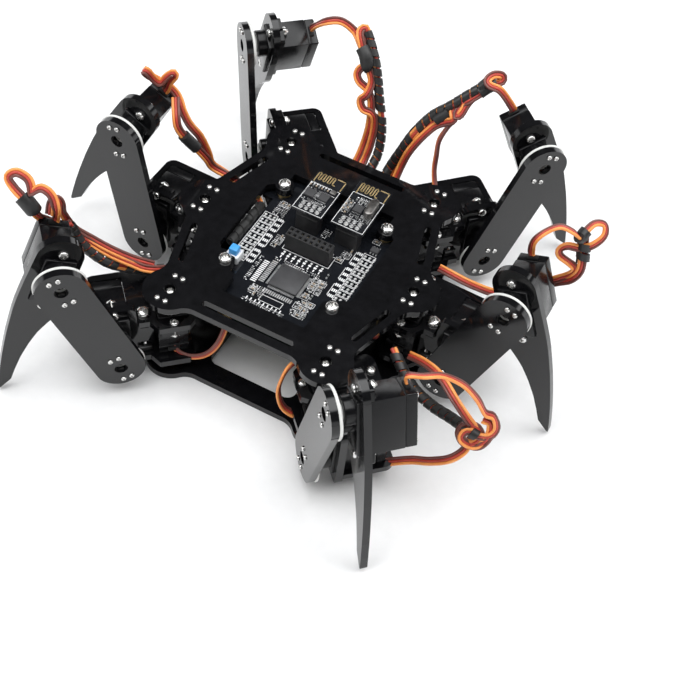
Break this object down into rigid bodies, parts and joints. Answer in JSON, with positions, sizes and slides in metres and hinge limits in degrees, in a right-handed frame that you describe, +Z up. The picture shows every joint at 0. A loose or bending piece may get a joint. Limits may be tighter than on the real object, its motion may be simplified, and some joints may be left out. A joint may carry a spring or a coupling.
{
  "type": "hexapod walking robot",
  "caption": "Six-legged walking robot with flat acrylic body plates, servo-driven hooked legs, a control board and loose servo leads.",
  "frame": {"origin": "centre of the bottom plate's underside", "axes": "+X to the robot's right, towards the right middle leg; +Y to the rear, towards the radio modules; +Z up"},
  "size_m": [0.2381, 0.2029, 0.0988],
  "materials": {
    "black_acrylic": "polished laser-cut sheet",
    "servo_case": "fine moulded texture",
    "white_nylon": "moulded",
    "bright_steel": "nickel-plated",
    "brass": "turned",
    "circuit_board": "black solder mask",
    "black_plastic": "moulded",
    "radio_board": "black solder mask",
    "white_plastic": "moulded",
    "blue_button": "moulded",
    "cell_sleeve": "shrink sleeve",
    "lead_wire": "three-wire ribbon"
  },
  "bodies": {
    "body": {"top_plate": "black_acrylic", "bottom_plate": "black_acrylic", "standoffs": "brass", "body_screws": "bright_steel", "yaw_horns": "white_nylon", "control_board": "circuit_board", "board_parts": "black_plastic", "radio_modules": "radio_board", "power_switch": "white_plastic", "battery_holder": "black_plastic", "battery_cells": "cell_sleeve"},
    "power_button": {"power_button": "blue_button"},
    "coxa_left_front": {"coxa_plates_left_front": "black_acrylic", "coxa_servos_left_front": "servo_case", "coxa_screws_left_front": "bright_steel", "lead_left_front": "lead_wire"},
    "femur_left_front": {"femur_plate_left_front": "black_acrylic", "femur_horns_left_front": "white_nylon"},
    "claw_left_front": {"claw_plate_left_front": "black_acrylic", "claw_servo_left_front": "servo_case"},
    "coxa_right_front": {"coxa_plates_right_front": "black_acrylic", "coxa_servos_right_front": "servo_case", "coxa_screws_right_front": "bright_steel", "lead_right_front": "lead_wire"},
    "femur_right_front": {"femur_plate_right_front": "black_acrylic", "femur_horns_right_front": "white_nylon"},
    "claw_right_front": {"claw_plate_right_front": "black_acrylic", "claw_servo_right_front": "servo_case"},
    "coxa_right_middle": {"coxa_plates_right_middle": "black_acrylic", "coxa_servos_right_middle": "servo_case", "coxa_screws_right_middle": "bright_steel", "lead_right_middle": "lead_wire"},
    "femur_right_middle": {"femur_plate_right_middle": "black_acrylic", "femur_horns_right_middle": "white_nylon"},
    "claw_right_middle": {"claw_plate_right_middle": "black_acrylic", "claw_servo_right_middle": "servo_case"},
    "coxa_right_rear": {"coxa_plates_right_rear": "black_acrylic", "coxa_servos_right_rear": "servo_case", "coxa_screws_right_rear": "bright_steel", "lead_right_rear": "lead_wire"},
    "femur_right_rear": {"femur_plate_right_rear": "black_acrylic", "femur_horns_right_rear": "white_nylon"},
    "claw_right_rear": {"claw_plate_right_rear": "black_acrylic", "claw_servo_right_rear": "servo_case"},
    "coxa_left_rear": {"coxa_plates_left_rear": "black_acrylic", "coxa_servos_left_rear": "servo_case", "coxa_screws_left_rear": "bright_steel", "lead_left_rear": "lead_wire"},
    "femur_left_rear": {"femur_plate_left_rear": "black_acrylic", "femur_horns_left_rear": "white_nylon"},
    "claw_left_rear": {"claw_plate_left_rear": "black_acrylic", "claw_servo_left_rear": "servo_case"},
    "coxa_left_middle": {"coxa_plates_left_middle": "black_acrylic", "coxa_servos_left_middle": "servo_case", "coxa_screws_left_middle": "bright_steel", "lead_left_middle": "lead_wire"},
    "femur_left_middle": {"femur_plate_left_middle": "black_acrylic", "femur_horns_left_middle": "white_nylon"},
    "claw_left_middle": {"claw_plate_left_middle": "black_acrylic", "claw_servo_left_middle": "servo_case"}
  },
  "joints": [
    {"name": "yaw_left_front", "type": "hinge", "parent": "body", "child": "coxa_left_front", "pos_m": [-0.035, -0.05, 0.035], "axis": [0, 0, 1], "range_deg": [-25, 25], "deforming": ["lead_left_middle", "lead_left_front", "lead_right_front"]},
    {"name": "hip_left_front", "type": "hinge", "parent": "coxa_left_front", "child": "femur_left_front", "pos_m": [-0.05182, -0.06569, 0.0165], "axis": [-0.682, 0.7314, 0], "range_deg": [-55, 18], "deforming": ["lead_left_middle", "lead_left_front", "lead_right_front"]},
    {"name": "knee_left_front", "type": "hinge", "parent": "femur_left_front", "child": "claw_left_front", "pos_m": [-0.06624, -0.07913, 0.06785], "axis": [-0.682, 0.7314, 0], "range_deg": [-15, 50], "deforming": ["lead_left_middle", "lead_left_front", "lead_right_front"]},
    {"name": "yaw_right_front", "type": "hinge", "parent": "body", "child": "coxa_right_front", "pos_m": [0.035, -0.05, 0.035], "axis": [0, 0, 1], "range_deg": [-25, 25], "deforming": ["lead_left_front", "lead_right_front", "lead_right_middle"]},
    {"name": "hip_right_front", "type": "hinge", "parent": "coxa_right_front", "child": "femur_right_front", "pos_m": [0.05083, -0.06668, 0.0165], "axis": [-0.7254, -0.6884, 0], "range_deg": [-55, 18], "deforming": ["lead_left_front", "lead_right_front", "lead_right_middle"]},
    {"name": "knee_right_front", "type": "hinge", "parent": "femur_right_front", "child": "claw_right_front", "pos_m": [0.06222, -0.07868, 0.06895], "axis": [-0.7254, -0.6884, 0], "range_deg": [-15, 50], "deforming": ["lead_left_front", "lead_right_front", "lead_right_middle"]},
    {"name": "yaw_right_middle", "type": "hinge", "parent": "body", "child": "coxa_right_middle", "pos_m": [0.049, 0, 0.035], "axis": [0, 0, 1], "range_deg": [-25, 25], "deforming": ["lead_right_front", "lead_right_middle", "lead_right_rear"]},
    {"name": "hip_right_middle", "type": "hinge", "parent": "coxa_right_middle", "child": "femur_right_middle", "pos_m": [0.07199, -0.0006, 0.0165], "axis": [-0.0262, -0.9997, 0], "range_deg": [-55, 18], "deforming": ["lead_right_front", "lead_right_middle", "lead_right_rear"]},
    {"name": "knee_right_middle", "type": "hinge", "parent": "femur_right_middle", "child": "claw_right_middle", "pos_m": [0.09035, -0.00108, 0.06835], "axis": [-0.0262, -0.9997, 0], "range_deg": [-15, 50], "deforming": ["lead_right_front", "lead_right_middle", "lead_right_rear"]},
    {"name": "yaw_right_rear", "type": "hinge", "parent": "body", "child": "coxa_right_rear", "pos_m": [0.035, 0.05, 0.035], "axis": [0, 0, 1], "range_deg": [-25, 25], "deforming": ["lead_right_middle", "lead_right_rear", "lead_left_rear"]},
    {"name": "hip_right_rear", "type": "hinge", "parent": "coxa_right_rear", "child": "femur_right_rear", "pos_m": [0.05098, 0.06654, 0.0165], "axis": [0.7193, -0.6947, 0], "range_deg": [-55, 18], "deforming": ["lead_right_middle", "lead_right_rear", "lead_left_rear"]},
    {"name": "knee_right_rear", "type": "hinge", "parent": "femur_right_rear", "child": "claw_right_rear", "pos_m": [0.06342, 0.07943, 0.0685], "axis": [0.7193, -0.6947, 0], "range_deg": [-15, 50], "deforming": ["lead_right_middle", "lead_right_rear", "lead_left_rear"]},
    {"name": "yaw_left_rear", "type": "hinge", "parent": "body", "child": "coxa_left_rear", "pos_m": [-0.035, 0.05, 0.035], "axis": [0, 0, 1], "range_deg": [-25, 25], "deforming": ["lead_right_rear", "lead_left_rear", "lead_left_middle"]},
    {"name": "hip_left_rear", "type": "hinge", "parent": "coxa_left_rear", "child": "femur_left_rear", "pos_m": [-0.05083, 0.06668, 0.0165], "axis": [0.7254, 0.6884, 0], "range_deg": [-55, 18], "deforming": ["lead_right_rear", "lead_left_rear", "lead_left_middle"]},
    {"name": "knee_left_rear", "type": "hinge", "parent": "femur_left_rear", "child": "claw_left_rear", "pos_m": [-0.06158, 0.07801, 0.06924], "axis": [0.7254, 0.6884, 0], "range_deg": [-15, 50], "deforming": ["lead_right_rear", "lead_left_rear", "lead_left_middle"]},
    {"name": "yaw_left_middle", "type": "hinge", "parent": "body", "child": "coxa_left_middle", "pos_m": [-0.049, 0, 0.035], "axis": [0, 0, 1], "range_deg": [-25, 25], "deforming": ["lead_left_rear", "lead_left_middle", "lead_left_front"]},
    {"name": "hip_left_middle", "type": "hinge", "parent": "coxa_left_middle", "child": "femur_left_middle", "pos_m": [-0.072, 0.0004, 0.0165], "axis": [0.0175, 0.9998, 0], "range_deg": [-55, 11], "deforming": ["lead_left_rear", "lead_left_middle", "lead_left_front"]},
    {"name": "knee_left_middle", "type": "hinge", "parent": "femur_left_middle", "child": "claw_left_middle", "pos_m": [-0.08249, 0.00058, 0.07049], "axis": [0.0175, 0.9998, 0], "range_deg": [-15, 50], "deforming": ["lead_left_rear", "lead_left_middle", "lead_left_front"]},
    {"name": "power_button_press", "type": "slide", "parent": "body", "child": "power_button", "axis": [0, 0, -1], "range_m": [0, 0.0015], "stiffness_N_per_m": 800}
  ]
}
